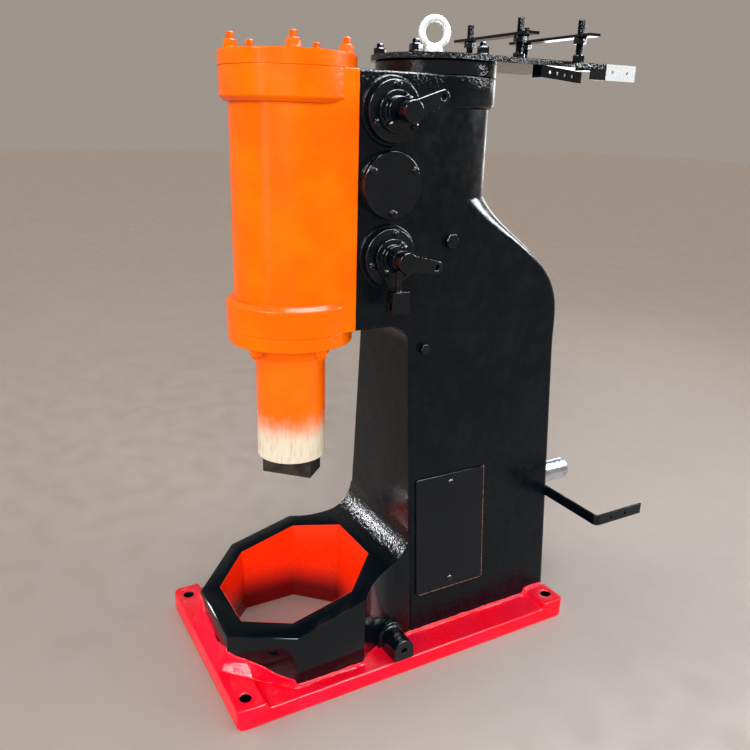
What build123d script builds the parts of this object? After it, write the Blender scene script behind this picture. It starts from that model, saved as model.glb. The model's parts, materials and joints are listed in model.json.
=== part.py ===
"""Pneumatic forging hammer: one-piece cast frame, working cylinder with ram, compressor side, base.

Millimetres. X points to the operator's side with the valve levers, -Y is the front with the ram,
+Y the back with the crankshaft, +Z is up. The origin is the centre of the base's underside.
"""
from math import atan2, cos, degrees, pi, radians, sin, sqrt, tan
import os

from build123d import *

# Base plate
base_length = 890.0
base_width = 500.0
base_thickness = 35.0
base_corner_radius = 18.0
pad_rise = 15.0
pad_width = 78.0
pad_length = 68.0
anchor_hole_radius = 12.0
anchor_inset_x = 40.0
anchor_inset_y = 30.0
foot_fillet_margin = 4.0
foot_fillet_lip = 3.0

# Anvil ring: an octagonal tub whose rim slopes up to the column
ring_front_margin = 30.0
ring_half_x = 215.0
ring_half_y = 201.0
ring_corner = 118.0
ring_height = 181.0
ring_slope = 15.0
pocket_half_x = 165.0
pocket_half_y = 161.0
pocket_corner = 89.0
pocket_draft = 4.0
neck_fillet = 80.0
neck_side_radius = 150.0

# Distances along Y from the vertical ram line
ram_to_paint_line = 98.0
ram_to_valves = 167.0
ram_to_column = 234.0
ram_to_compressor = 344.0

# Column
column_back_margin = 3.0
column_foot_half = 170.0
column_edge_radius = 12.0
column_front_radius = 8.0
throat_fillet = 50.0
side_bend_radius = 600.0
side_bend_drop = 85.0
shoulder_drop = 52.0
shoulder_rise = 268.0
shoulder_steps = 8
shoulder_bias = 1.5
corner_bias = 3.6
barrel_flat = 2.0

# Cylinder block
cylinder_bottom = 797.0
cylinder_length = 514.0
body_half = 118.0
collar_height = 64.0
working_collar_radius = 135.0
compressor_collar_radius = 130.5
collar_chamfer = 9.0
bore_radius = 92.0
cover_thickness = 28.0
working_cover_radius = 136.0
cover_edge = 3.0

# Lower cover with the gland that guides the ram
lower_cover_radius = 133.0
lower_cover_thickness = 30.0
gland_lip_radius = 84.0
gland_lip_height = 32.0
spigot_height = 30.0
sliding_gap = 0.3

# Ram and upper die
ram_radius = 76.0
ram_reach = 299.0
ram_groove_radius = 71.0
ram_groove_drop = 55.0
ram_groove_length = 58.0
piston_length = 220.0
ram_core_radius = 58.0
ram_floor = 72.0
die_length = 116.0
die_width = 64.0
die_height = 47.0
die_turn = 44.0

# Valve chambers across the web, between the two cylinders
upper_valve_drop = 75.0
upper_valve_spacing = 140.0
lower_valve_spacing = 145.0
valve_boss_clearance = 6.0
valve_boss_height = 8.0
valve_cover_step = 8.0
middle_cover_step = 1.0
valve_cover_thickness = 12.0
gland_radius = 40.0
gland_step = 12.0
gland_length = 22.0
gland_flange_length = 9.0
valve_shaft_radius = 13.0
valve_shaft_seat = 2.0
running_gap = 0.05
lever_hub_radius = 21.0
lever_hub_length = 26.0
lever_arm_step = 3.0
lever_end_radius = 14.0
lever_thickness = 14.0
lever_reach = 73.0
lever_hole_radius = 6.0
lever_gap = 22.0
upper_lever_angle = 22.0
lower_lever_angle = -11.0

# Crankshaft at the back
crank_z = 280.0
crank_journal_radius = 36.0
crank_end_radius = 30.0
crank_end_reach = 186.0
crank_collar_length = 6.0
crank_bore_radius = 46.0
crank_bore_depth = 150.0
crank_end_clearance = 5.0
bearing_cover_radius = 82.0
bearing_cover_thickness = 24.0
keyway_width = 16.0
keyway_depth = 6.0
keyway_length = 70.0
keyway_inset = 10.0

# Motor plate on the compressor cover, with its two rails
plate_half = 140.0
plate_rear_reach = 358.0
plate_thickness = 12.0
rail_length = 268.0
rail_width = 30.0
rail_thickness = 6.0
rail_lift = 47.0
compressor_to_rail = 151.0
rail_spacing = 122.0
rail_front_x = 2.0
rail_rear_x = 54.0
stud_radius = 8.0
stud_end = 29.0
nut_flats = 24.0
nut_height = 13.0
stud_spacing = 180.0

# Lifting eye
eye_ring_radius = 28.0
eye_wire_radius = 8.0
eye_collar_radius = 20.0
eye_collar_height = 16.0
eye_ring_sink = 4.0
eye_turn = -15.0
eye_forward = 6.0

# Side covers over the crank chamber, and the plugs above them
side_cover_inset = 16.0
side_cover_length = 194.0
side_cover_lift = 97.0
side_cover_rise = 296.0
side_cover_thickness = 5.0
side_cover_corner = 4.0
upper_plug_inset = 18.0
upper_plug_rise = 179.0
upper_plug_radius = 17.0
lower_plug_inset = 35.0
lower_plug_drop = 57.0
lower_plug_radius = 13.0
plug_height = 12.0

# Crank that hangs from the lower valve shaft, with the clevis for the treadle rod
clevis_width = 40.0
clevis_depth = 26.0
clevis_height = 46.0
clevis_slot = 12.0
clevis_drop = 86.0
crank_rod_radius = 6.0

# Belt guard brackets: angle and hanger under the motor plate, strap on the column's back
angle_leg = 30.0
angle_thickness = 4.0
angle_length = 112.0
angle_back_inset = 68.0
angle_height = 23.0
angle_fall = 9.0
angle_hole_spacing = 21.0
angle_hole_inset = 24.0
hanger_overhang = 96.0
hanger_overlap = 60.0
hanger_height = 34.0
hanger_seat = 40.0
hanger_hole_spacing = 46.0
bracket_hole_radius = 4.0
strap_z = 312.0
strap_width = 26.0
strap_thickness = 6.0
strap_root_clearance = 14.0
strap_side_reach = 152.0
strap_back_reach = 150.0
strap_bend_radius = 10.0
strap_hole_spacing = 48.0
strap_hole_inset = 54.0

# Treadle brackets on both sides of the ring
treadle_inset = 63.0
treadle_lift = 25.0
treadle_boss_radius = 26.0
treadle_margin = 2.0
treadle_hole_radius = 7.0
treadle_hole_depth = 50.0
treadle_root = 17.0
treadle_flange_radius = 34.0
treadle_flange_length = 16.0

# Places that follow from the sizes above
plate_top = base_thickness
slope = tan(radians(ring_slope))
ram_y = ring_front_margin + ring_half_y - base_length / 2
paint_line_y = ram_y + ram_to_paint_line
valve_y = ram_y + ram_to_valves
column_front_y = ram_y + ram_to_column
compressor_y = ram_y + ram_to_compressor
column_back_y = base_length / 2 - column_back_margin
cylinder_top = cylinder_bottom + cylinder_length
cover_top = cylinder_top + cover_thickness
motor_plate_top = cover_top + plate_thickness
side_bend_z = cylinder_bottom - side_bend_drop
shoulder_start = cylinder_bottom - shoulder_drop
shoulder_end = cylinder_bottom + shoulder_rise
lean = (column_foot_half - body_half) / (side_bend_z - plate_top)
lean_angle = degrees(atan2(column_foot_half - body_half, side_bend_z - plate_top))
upper_valve_z = cylinder_top - upper_valve_drop
middle_valve_z = upper_valve_z - upper_valve_spacing
lower_valve_z = middle_valve_z - lower_valve_spacing
valve_heights = {"lower": lower_valve_z, "middle": middle_valve_z, "upper": upper_valve_z}
valve_boss_radius = (min(upper_valve_spacing, lower_valve_spacing) - valve_boss_clearance) / 2
valve_cover_radius = valve_boss_radius - valve_cover_step
middle_cover_radius = valve_boss_radius - middle_cover_step

os.makedirs("parts", exist_ok=True)


def save(builder, node):
    """Labels a finished piece and writes its STEP file."""
    builder.part.label = node
    export_step(builder.part, f"parts/{node}.step")


def ring_rim(y):
    """Height of the ring's sloping rim at a place along Y."""
    return ring_height + slope * (y - ram_y)


def octagon(half_x, half_y, corner):
    """Corner points of an octagon round the ram line."""
    inner_x = half_x - corner
    inner_y = half_y - corner
    points = [
        (half_x, inner_y), (inner_x, half_y), (-inner_x, half_y), (-half_x, inner_y),
        (-half_x, -inner_y), (-inner_x, -half_y), (inner_x, -half_y), (half_x, -inner_y),
    ]
    return [(x, y + ram_y) for x, y in points]


def pocket_points(height):
    """The pocket's outline at a height: full size at the rim, narrower below."""
    inset = (ring_height - height) * tan(radians(pocket_draft))
    return octagon(pocket_half_x - inset, pocket_half_y - inset, pocket_corner - inset * 0.5)


def shoulder_section(share):
    """Level section behind the compressor line: box at share 0, nearly a half circle at share 1."""
    barrel_back = compressor_y + body_half
    reach = (1 + cos(pi * share ** shoulder_bias)) / 2
    back = barrel_back + (column_back_y - barrel_back) * reach
    radius = column_edge_radius + (body_half - barrel_flat - column_edge_radius) * share ** corner_bias
    level = shoulder_start + (shoulder_end - shoulder_start) * share
    with BuildSketch(Plane.XY.offset(level)) as section:
        with Locations((0, (compressor_y + back) / 2)):
            Rectangle(2 * body_half, back - compressor_y)
        fillet(section.vertices().group_by(Axis.Y)[-1], radius)
    return section.sketch


# Base plate: raised across its front, where it rises to the ring in a sloping foot, and at its back corners
front_band_y = pad_length - base_length / 2
foot_reach = ring_front_margin - foot_fillet_margin
foot_corner = ring_corner + foot_reach * (2 - sqrt(2))
with BuildPart() as base_plate:
    with BuildSketch():
        RectangleRounded(base_width, base_length, base_corner_radius)
    extrude(amount=base_thickness)
    with BuildSketch(Plane.XY.offset(base_thickness)) as pads:
        RectangleRounded(base_width, base_length, base_corner_radius)
        Rectangle(base_width, base_length - 2 * pad_length, mode=Mode.SUBTRACT)
        with Locations((0, base_length / 2)):
            Rectangle(base_width - 2 * pad_width, 2 * pad_length, mode=Mode.SUBTRACT)
    extrude(amount=pad_rise)
    with BuildPart(mode=Mode.PRIVATE) as foot:
        with BuildSketch(Plane.XY.offset(base_thickness + pad_rise)):
            Polygon(*octagon(ring_half_x + foot_reach, ring_half_y + foot_reach, foot_corner), align=None)
        extrude(amount=foot_reach - foot_fillet_lip, taper=45)
        split(bisect_by=Plane.XZ.offset(-front_band_y), keep=Keep.TOP)
    add(foot.part)
    with BuildSketch(Plane.XY.offset(base_thickness)):
        Polygon(*octagon(ring_half_x, ring_half_y, ring_corner), align=None)
    extrude(amount=pad_rise + foot_reach, mode=Mode.SUBTRACT)
    with GridLocations(base_width - 2 * anchor_inset_x, base_length - 2 * anchor_inset_y, 2, 2):
        Hole(anchor_hole_radius, depth=None)
    with BuildSketch(Plane.XY) as pocket_low:
        Polygon(*pocket_points(0), align=None)
    with BuildSketch(Plane.XY.offset(base_thickness)) as pocket_high:
        Polygon(*pocket_points(base_thickness), align=None)
    loft(ruled=True, mode=Mode.SUBTRACT)
save(base_plate, "base_plate")

def is_neck_corner(edge):
    """True for the upright inner corners where the neck's sides leave the octagon."""
    on_side = ring_half_x - ring_corner < abs(edge.center().X) < column_foot_half
    return on_side and edge.bounding_box().size.Z > ring_height


# Anvil ring with the neck that carries it on the column
rim_reach = ring_half_y + 10
neck_tangent = neck_fillet * tan(radians(90 - ring_slope) / 2)
rim_at_column = ring_rim(column_front_y)
with BuildPart() as anvil_ring:
    with BuildSketch(Plane.XY.offset(plate_top)):
        Polygon(*octagon(ring_half_x, ring_half_y, ring_corner), align=None)
    extrude(amount=cylinder_bottom / 2)
    with BuildSketch(Plane.XY.offset(plate_top)):
        with Locations((0, column_front_y)):
            Rectangle(2 * column_foot_half, 2 * (column_front_y - ram_y))
    extrude(amount=cylinder_bottom / 2, taper=lean_angle)
    inner_corners = anvil_ring.edges().filter_by_position(Axis.Y, ram_y + 1, column_front_y - 1)
    inner_corners = inner_corners.filter_by(is_neck_corner)
    fillet(inner_corners, neck_side_radius)
    with BuildSketch(Plane.YZ) as side:
        with BuildLine():
            rim = Line(
                (ram_y - rim_reach, ring_rim(ram_y - rim_reach)),
                (column_front_y - neck_tangent * cos(radians(ring_slope)),
                 rim_at_column - neck_tangent * sin(radians(ring_slope))),
            )
            rise = TangentArc(rim @ 1, (column_front_y, rim_at_column + neck_tangent), tangent=rim % 1)
            Polyline(
                rise @ 1,
                (column_front_y, plate_top),
                (ram_y - rim_reach, plate_top),
                rim @ 0,
            )
        make_face()
    extrude(amount=ring_half_x + 10, both=True, mode=Mode.INTERSECT)
    with BuildSketch(Plane.XY):
        Polygon(*pocket_points(0), align=None)
    with BuildSketch(Plane.XY.offset(ring_height + rim_reach)):
        Polygon(*pocket_points(ring_height + rim_reach), align=None)
    loft(ruled=True, mode=Mode.SUBTRACT)
save(anvil_ring, "anvil_ring")

# Frame body: leaning column, shoulder, web and compressor cylinder
with BuildPart() as frame_body:
    with BuildSketch(Plane.XZ.offset(-paint_line_y)):
        with BuildLine():
            right = FilletPolyline(
                (column_foot_half, plate_top), (body_half, side_bend_z), (body_half, cylinder_top),
                radius=side_bend_radius,
            )
            mirror(right, Plane.YZ)
            Line((-column_foot_half, plate_top), (column_foot_half, plate_top))
            Line((-body_half, cylinder_top), (body_half, cylinder_top))
        make_face()
    extrude(amount=-(column_back_y - paint_line_y))
    with BuildSketch(Plane.YZ):
        with BuildLine():
            front = Line((column_front_y, plate_top), (column_front_y, cylinder_bottom - throat_fillet))
            throat = TangentArc(
                front @ 1, (column_front_y - throat_fillet, cylinder_bottom), tangent=front % 1
            )
            Polyline(
                throat @ 1,
                (paint_line_y, cylinder_bottom),
                (paint_line_y, cylinder_top),
                (compressor_y, cylinder_top),
                (compressor_y, shoulder_start),
                (column_back_y, shoulder_start),
                (column_back_y, plate_top),
                front @ 0,
            )
        make_face()
    extrude(amount=column_foot_half, both=True, mode=Mode.INTERSECT)
    corners = frame_body.edges().filter_by_position(Axis.Y, column_back_y - 0.1, column_back_y + 0.1)
    fillet(corners.filter_by(Axis.X, reverse=True), column_edge_radius)
    rims = frame_body.edges().filter_by_position(Axis.Y, paint_line_y, column_front_y)
    rims = rims.filter_by(lambda e: abs(e.center().X) > body_half - 1 and e.center().Y < column_front_y + 0.1)
    rims = rims.filter_by(lambda e: plate_top + 1 < e.center().Z < cylinder_bottom + 1)
    fillet(rims, column_front_radius)
    for step in range(shoulder_steps + 1):
        add(shoulder_section(step / shoulder_steps))
    loft()
    add(shoulder_section(1))
    extrude(amount=cylinder_top - shoulder_end)
    with BuildPart(mode=Mode.PRIVATE) as compressor_collar:
        with BuildSketch(Plane.XY.offset(cylinder_top - collar_height)):
            with Locations((0, compressor_y)):
                Circle(compressor_collar_radius)
        extrude(amount=collar_height)
        chamfer(compressor_collar.edges().filter_by(GeomType.CIRCLE).sort_by(Axis.Z)[0], collar_chamfer)
    add(compressor_collar.part)
    with BuildSketch(Plane.YZ.offset(-body_half - valve_boss_height)):
        with Locations(*[(valve_y, height) for height in valve_heights.values()]):
            Circle(valve_boss_radius)
    extrude(amount=2 * (body_half + valve_boss_height))
    with BuildSketch(Plane.XZ.offset(-column_back_y)):
        with Locations((0, crank_z)):
            Circle(crank_bore_radius)
    extrude(amount=crank_bore_depth, mode=Mode.SUBTRACT)
save(frame_body, "frame_body")

# Working cylinder: barrel with two collars, cut off at the paint line on the web
with BuildPart() as working_cylinder:
    with BuildSketch(Plane.XY.offset(cylinder_bottom)):
        with Locations((0, ram_y)):
            Circle(body_half)
        with Locations((0, (ram_y + paint_line_y) / 2)):
            Rectangle(2 * body_half, paint_line_y - ram_y)
    extrude(amount=cylinder_top - cylinder_bottom)
    for level in (cylinder_bottom, cylinder_top - collar_height):
        with BuildPart(mode=Mode.PRIVATE) as collar:
            with BuildSketch(Plane.XY.offset(level)):
                with Locations((0, ram_y)):
                    Circle(working_collar_radius)
            extrude(amount=collar_height)
            inner = collar.edges().filter_by(GeomType.CIRCLE).sort_by(Axis.Z)
            chamfer(inner[0] if level > cylinder_bottom else inner[-1], collar_chamfer)
        add(collar.part)
    split(bisect_by=Plane.XZ.offset(-paint_line_y), keep=Keep.TOP)
    with BuildSketch(Plane.XY.offset(cylinder_bottom)):
        with Locations((0, ram_y)):
            Circle(bore_radius)
    extrude(amount=cylinder_top - cylinder_bottom, mode=Mode.SUBTRACT)
save(working_cylinder, "working_cylinder")


def disc_cover(radius, centre_y, level, thickness):
    """A round cover lying level, its upper edge rounded."""
    with BuildPart() as cover:
        with BuildSketch(Plane.XY.offset(level)):
            with Locations((0, centre_y)):
                Circle(radius)
        extrude(amount=thickness)
        fillet(cover.edges().filter_by(GeomType.CIRCLE).sort_by(Axis.Z)[-1], cover_edge)
    return cover


# Covers on the two cylinders
working_cylinder_cover = disc_cover(working_cover_radius, ram_y, cylinder_top, cover_thickness)
save(working_cylinder_cover, "working_cylinder_cover")
compressor_cover = disc_cover(compressor_collar_radius, compressor_y, cylinder_top, cover_thickness)
save(compressor_cover, "compressor_cover")

# Lower cover: flange, gland lip below and spigot in the bore, bored for the ram
with BuildPart() as lower_cover:
    flange_bottom = cylinder_bottom - lower_cover_thickness
    with BuildSketch(Plane.XY.offset(flange_bottom)):
        with Locations((0, ram_y)):
            Circle(lower_cover_radius)
    extrude(amount=lower_cover_thickness)
    with BuildSketch(Plane.XY.offset(flange_bottom - gland_lip_height)):
        with Locations((0, ram_y)):
            Circle(gland_lip_radius)
    extrude(amount=gland_lip_height)
    with BuildSketch(Plane.XY.offset(cylinder_bottom)):
        with Locations((0, ram_y)):
            Circle(bore_radius - sliding_gap)
    extrude(amount=spigot_height)
    with BuildSketch(Plane.XY.offset(flange_bottom - gland_lip_height)):
        with Locations((0, ram_y)):
            Circle(ram_radius + sliding_gap)
    extrude(amount=gland_lip_height + lower_cover_thickness + spigot_height, mode=Mode.SUBTRACT)
save(lower_cover, "lower_cover")

# Ram: rod with a groove under the gland, and the piston above the lower cover
ram_bottom = cylinder_bottom - ram_reach
ram_core_bottom = ram_bottom + ram_floor
ram_groove_start = cylinder_bottom - ram_groove_drop
ram_groove_end = ram_groove_start + ram_groove_length
piston_bottom = cylinder_bottom + spigot_height + sliding_gap
with BuildPart() as ram:
    with BuildSketch(Plane.XZ.offset(-ram_y)):
        with BuildLine():
            Polyline(
                (0, ram_bottom),
                (ram_radius, ram_bottom),
                (ram_radius, ram_groove_start),
                (ram_groove_radius, ram_groove_start),
                (ram_groove_radius, ram_groove_end),
                (ram_radius, ram_groove_end),
                (ram_radius, piston_bottom),
                (bore_radius - sliding_gap, piston_bottom),
                (bore_radius - sliding_gap, piston_bottom + piston_length),
                (ram_core_radius, piston_bottom + piston_length),
                (ram_core_radius, ram_core_bottom),
                (0, ram_core_bottom),
                (0, ram_bottom),
            )
        make_face()
    revolve(axis=Axis((0, ram_y, 0), (0, 0, 1)))
save(ram, "ram")

with BuildPart() as upper_die:
    with BuildSketch(Plane.XY.offset(ram_bottom - die_height)):
        with Locations((0, ram_y)):
            Rectangle(die_length, die_width, rotation=die_turn)
    extrude(amount=die_height)
save(upper_die, "upper_die")

# Valve covers, levers and glands on the operator's side, plain covers on the far side
seat_x = body_half + valve_boss_height


def valve_cover(side, height, radius, bored):
    """A round cover on a valve boss: side 1 is the operator's side, -1 the far side."""
    with BuildPart() as cover:
        with BuildSketch(Plane.YZ.offset(side * seat_x)):
            with Locations((valve_y, height)):
                Circle(radius)
                if bored:
                    Circle(valve_shaft_radius + running_gap, mode=Mode.SUBTRACT)
        extrude(amount=side * valve_cover_thickness)
    return cover


def valve_gland(height):
    """The stepped packing gland that stands on a bored cover."""
    with BuildPart() as gland:
        with BuildSketch(Plane.YZ.offset(seat_x + valve_cover_thickness)):
            with Locations((valve_y, height)):
                Circle(gland_radius)
                Circle(valve_shaft_radius + running_gap, mode=Mode.SUBTRACT)
        extrude(amount=gland_flange_length)
        with BuildSketch(Plane.YZ.offset(seat_x + valve_cover_thickness + gland_flange_length)):
            with Locations((valve_y, height)):
                Circle(gland_radius - gland_step)
                Circle(valve_shaft_radius + running_gap, mode=Mode.SUBTRACT)
        extrude(amount=gland_length - gland_flange_length)
    return gland


def valve_lever(height, angle):
    """A shaft through the cover with a forged lever on its end."""
    gland_end = seat_x + valve_cover_thickness + gland_length
    hub_x = gland_end + lever_gap
    with BuildPart() as lever:
        with BuildSketch(Plane.YZ.offset(seat_x + valve_shaft_seat)):
            with Locations((valve_y, height)):
                Circle(valve_shaft_radius)
        extrude(amount=hub_x + lever_hub_length - seat_x - valve_shaft_seat)
        with BuildSketch(Plane.YZ.offset(hub_x)):
            with Locations((valve_y, height)):
                Circle(lever_hub_radius)
        extrude(amount=lever_hub_length)
        tip = (lever_reach * cos(radians(angle)) + valve_y, lever_reach * sin(radians(angle)) + height)
        with BuildSketch(Plane.YZ.offset(hub_x + (lever_hub_length - lever_thickness) / 2)):
            with Locations((valve_y, height)):
                Circle(lever_hub_radius - lever_arm_step)
            with Locations(tip):
                Circle(lever_end_radius)
            make_hull()
            with Locations(tip):
                Circle(lever_hole_radius, mode=Mode.SUBTRACT)
        extrude(amount=lever_thickness)
    return lever


for name, height in valve_heights.items():
    cover_radius = middle_cover_radius if name == "middle" else valve_cover_radius
    near_cover = valve_cover(1, height, cover_radius, name != "middle")
    save(near_cover, f"{name}_valve_cover")
    far_cover = valve_cover(-1, height, valve_cover_radius, False)
    save(far_cover, f"{name}_valve_cover_far")
for name, angle in (("upper", upper_lever_angle), ("lower", lower_lever_angle)):
    gland = valve_gland(valve_heights[name])
    save(gland, f"{name}_valve_gland")
    lever = valve_lever(valve_heights[name], angle)
    save(lever, f"{name}_valve_lever")

# Crankshaft and its bearing cover on the back: journal in the frame, keyed pulley end outside
crank_end_y = column_back_y + crank_end_reach
journal_end_y = column_back_y + bearing_cover_thickness + crank_collar_length
with BuildPart() as crank_bearing_cover:
    with BuildSketch(Plane.XZ.offset(-column_back_y)):
        with Locations((0, crank_z)):
            Circle(bearing_cover_radius)
            Circle(crank_journal_radius + running_gap, mode=Mode.SUBTRACT)
    extrude(amount=-bearing_cover_thickness)
save(crank_bearing_cover, "crank_bearing_cover")

with BuildPart() as crankshaft:
    with BuildSketch(Plane.XZ.offset(-journal_end_y)):
        with Locations((0, crank_z)):
            Circle(crank_journal_radius)
    extrude(amount=journal_end_y - column_back_y + crank_bore_depth - crank_end_clearance)
    with BuildSketch(Plane.XZ.offset(-crank_end_y)):
        with Locations((0, crank_z)):
            Circle(crank_end_radius)
    extrude(amount=crank_end_y - journal_end_y)
    with BuildSketch(Plane.XY.offset(crank_z - crank_end_radius)):
        with Locations((0, crank_end_y - keyway_length / 2 - keyway_inset)):
            SlotOverall(keyway_length, keyway_width, rotation=90)
    extrude(amount=keyway_depth, mode=Mode.SUBTRACT)
save(crankshaft, "crankshaft")

# Motor plate with its round front end, rails and studs above the compressor cover
plate_back_y = compressor_y + plate_rear_reach
rail_bottom = motor_plate_top + rail_lift
rail_front_y = compressor_y + compressor_to_rail
rail_rear_y = rail_front_y + rail_spacing
stud_top = rail_bottom + rail_thickness + stud_end
with BuildPart() as motor_plate:
    with BuildSketch(Plane.XY.offset(cover_top)):
        with Locations((0, compressor_y)):
            Circle(plate_half)
        with Locations((0, compressor_y + plate_rear_reach / 2)):
            Rectangle(2 * plate_half, plate_rear_reach)
    extrude(amount=plate_thickness)
save(motor_plate, "motor_plate")

for name, rail_x, rail_y in (("front", rail_front_x, rail_front_y), ("rear", rail_rear_x, rail_rear_y)):
    with BuildPart() as rail:
        with BuildSketch(Plane.XY.offset(rail_bottom)):
            with Locations((rail_x, rail_y)):
                Rectangle(rail_length, rail_width)
                with GridLocations(stud_spacing, 0, 2, 1):
                    Circle(stud_radius, mode=Mode.SUBTRACT)
        extrude(amount=rail_thickness)
    save(rail, f"motor_rail_{name}")
    for place, side in (("far", -1), ("near", 1)):
        with BuildPart() as stud:
            with BuildSketch(Plane.XY.offset(motor_plate_top)):
                with Locations((rail_x + side * stud_spacing / 2, rail_y)):
                    Circle(stud_radius)
            extrude(amount=stud_top - motor_plate_top)
            for level in (motor_plate_top, rail_bottom - nut_height):
                with BuildSketch(Plane.XY.offset(level)):
                    with Locations((rail_x + side * stud_spacing / 2, rail_y)):
                        RegularPolygon(nut_flats / 2, 6, major_radius=False)
                extrude(amount=nut_height)
        save(stud, f"rail_stud_{name}_{place}")

# Lifting eye screwed into the motor plate above the compressor
eye_y = compressor_y - eye_forward
eye_centre_height = eye_collar_height + eye_ring_radius + eye_wire_radius - eye_ring_sink
with BuildPart() as lifting_eye:
    with BuildSketch(Plane.XY.offset(motor_plate_top)):
        with Locations((0, eye_y)):
            Circle(eye_collar_radius)
    extrude(amount=eye_collar_height)
    ring_plane = Plane(
        origin=(0, eye_y, motor_plate_top + eye_centre_height),
        x_dir=(-sin(radians(eye_turn)), cos(radians(eye_turn)), 0),
        z_dir=(cos(radians(eye_turn)), sin(radians(eye_turn)), 0),
    )
    add(Torus(eye_ring_radius, eye_wire_radius, mode=Mode.PRIVATE).moved(ring_plane.location))
save(lifting_eye, "lifting_eye")

# Side covers on the leaning sides, with the hexagon plugs above them on the operator's side
side_mid_y = column_front_y + side_cover_inset + side_cover_length / 2
side_mid_z = plate_top + side_cover_lift + side_cover_rise / 2
side_mid_x = column_foot_half - lean * (side_mid_z - plate_top)
side_tall = side_cover_rise / cos(radians(lean_angle))
for name, side in (("near", 1), ("far", -1)):
    seat = Plane(
        origin=(side * side_mid_x, side_mid_y, side_mid_z),
        x_dir=(0, 1, 0),
        z_dir=(side * cos(radians(lean_angle)), 0, sin(radians(lean_angle))),
    )
    with BuildPart() as side_cover:
        with BuildSketch(seat):
            RectangleRounded(side_cover_length, side_tall, side_cover_corner)
        extrude(amount=side_cover_thickness)
    save(side_cover, f"side_cover_{name}")

for name, plug_y, plug_z, radius in (
    ("upper", compressor_y - upper_plug_inset, cylinder_bottom + upper_plug_rise, upper_plug_radius),
    ("lower", column_front_y + lower_plug_inset, cylinder_bottom - lower_plug_drop, lower_plug_radius),
):
    with BuildPart() as plug:
        plug_x = max(body_half, column_foot_half - lean * (plug_z - radius - plate_top))
        with BuildSketch(Plane.YZ.offset(plug_x)):
            with Locations((plug_y, plug_z)):
                RegularPolygon(radius, 6)
        extrude(amount=plug_height)
    save(plug, f"{name}_side_plug")

# Crank on the lower valve shaft with its hanging clevis
crank_x = seat_x + valve_cover_thickness + gland_length + sliding_gap
with BuildPart() as lower_valve_crank:
    with BuildSketch(Plane.YZ.offset(crank_x)):
        with Locations((valve_y, valve_heights["lower"])):
            Circle(lever_hub_radius)
            Circle(valve_shaft_radius, mode=Mode.SUBTRACT)
    extrude(amount=lever_gap - 2 * sliding_gap)
    rod_x = crank_x + lever_gap / 2
    clevis_top = valve_heights["lower"] - clevis_drop + clevis_height / 2
    with BuildSketch(Plane.XY.offset(clevis_top)):
        with Locations((rod_x, valve_y)):
            Circle(crank_rod_radius)
    extrude(amount=valve_heights["lower"] - valve_shaft_radius - 3 - clevis_top)
    with BuildSketch(Plane.YZ.offset(rod_x - clevis_depth / 2)):
        with Locations((valve_y, clevis_top - clevis_height / 2)):
            Rectangle(clevis_width, clevis_height)
    extrude(amount=clevis_depth)
    with BuildSketch(Plane.YZ.offset(rod_x - clevis_slot / 2)):
        with Locations((valve_y, clevis_top - clevis_height)):
            Rectangle(clevis_width, clevis_height)
    extrude(amount=clevis_slot, mode=Mode.SUBTRACT)
save(lower_valve_crank, "lower_valve_crank")

# Brackets of the belt guard: a strip that falls to the back, its front end bent in under the plate
angle_back_y = plate_back_y - angle_back_inset
angle_front_y = angle_back_y - angle_length
angle_mid_x = plate_half - angle_thickness / 2
with BuildPart() as guard_angle:
    with BuildSketch(Plane.XY.offset(cover_top - angle_height - angle_fall)):
        with BuildLine():
            fold = Polyline(
                (plate_half - angle_leg, angle_front_y + angle_thickness / 2),
                (angle_mid_x, angle_front_y + angle_thickness / 2),
                (angle_mid_x, angle_back_y),
            )
            offset(fold, amount=angle_thickness / 2, side=Side.BOTH)
        make_face()
    extrude(amount=angle_height + angle_fall)
    with BuildSketch(Plane.YZ):
        Polygon(
            (angle_front_y - angle_thickness, cover_top),
            (angle_front_y + 2 * angle_thickness, cover_top),
            (angle_back_y + angle_thickness, cover_top - angle_fall),
            (angle_back_y + angle_thickness, cover_top - angle_fall - angle_height),
            (angle_front_y - angle_thickness, cover_top - angle_height),
            align=None,
        )
    extrude(amount=plate_half + angle_thickness, mode=Mode.INTERSECT)
    with BuildSketch(Plane.YZ.offset(plate_half)):
        for step in range(4):
            hole_y = angle_front_y + angle_hole_inset + step * angle_hole_spacing
            fall = angle_fall * (hole_y - angle_front_y) / angle_length
            with Locations((hole_y, cover_top - fall - angle_height / 2)):
                Circle(bracket_hole_radius)
    extrude(amount=-angle_thickness, mode=Mode.SUBTRACT)
save(guard_angle, "guard_angle")

hanger_back_y = plate_back_y + hanger_overhang
hanger_root_y = plate_back_y - hanger_overlap
hanger_bottom = motor_plate_top - hanger_height
with BuildPart() as guard_hanger:
    with BuildSketch(Plane.XY.offset(cover_top - angle_thickness)):
        with Locations((plate_half - angle_leg / 2, (plate_back_y + hanger_root_y) / 2)):
            Rectangle(angle_leg, plate_back_y - hanger_root_y)
    extrude(amount=angle_thickness)
    with BuildSketch(Plane.YZ.offset(plate_half - angle_thickness)):
        Polygon(
            (plate_back_y - hanger_seat, cover_top),
            (plate_back_y, cover_top),
            (plate_back_y, motor_plate_top),
            (hanger_back_y, motor_plate_top),
            (hanger_back_y, hanger_bottom),
            (plate_back_y - hanger_seat, hanger_bottom),
            align=None,
        )
        with Locations(((plate_back_y + hanger_back_y) / 2, motor_plate_top - hanger_height / 2)):
            with GridLocations(hanger_hole_spacing, 0, 2, 1):
                Circle(bracket_hole_radius, mode=Mode.SUBTRACT)
    extrude(amount=angle_thickness)
save(guard_hanger, "guard_hanger")

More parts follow.
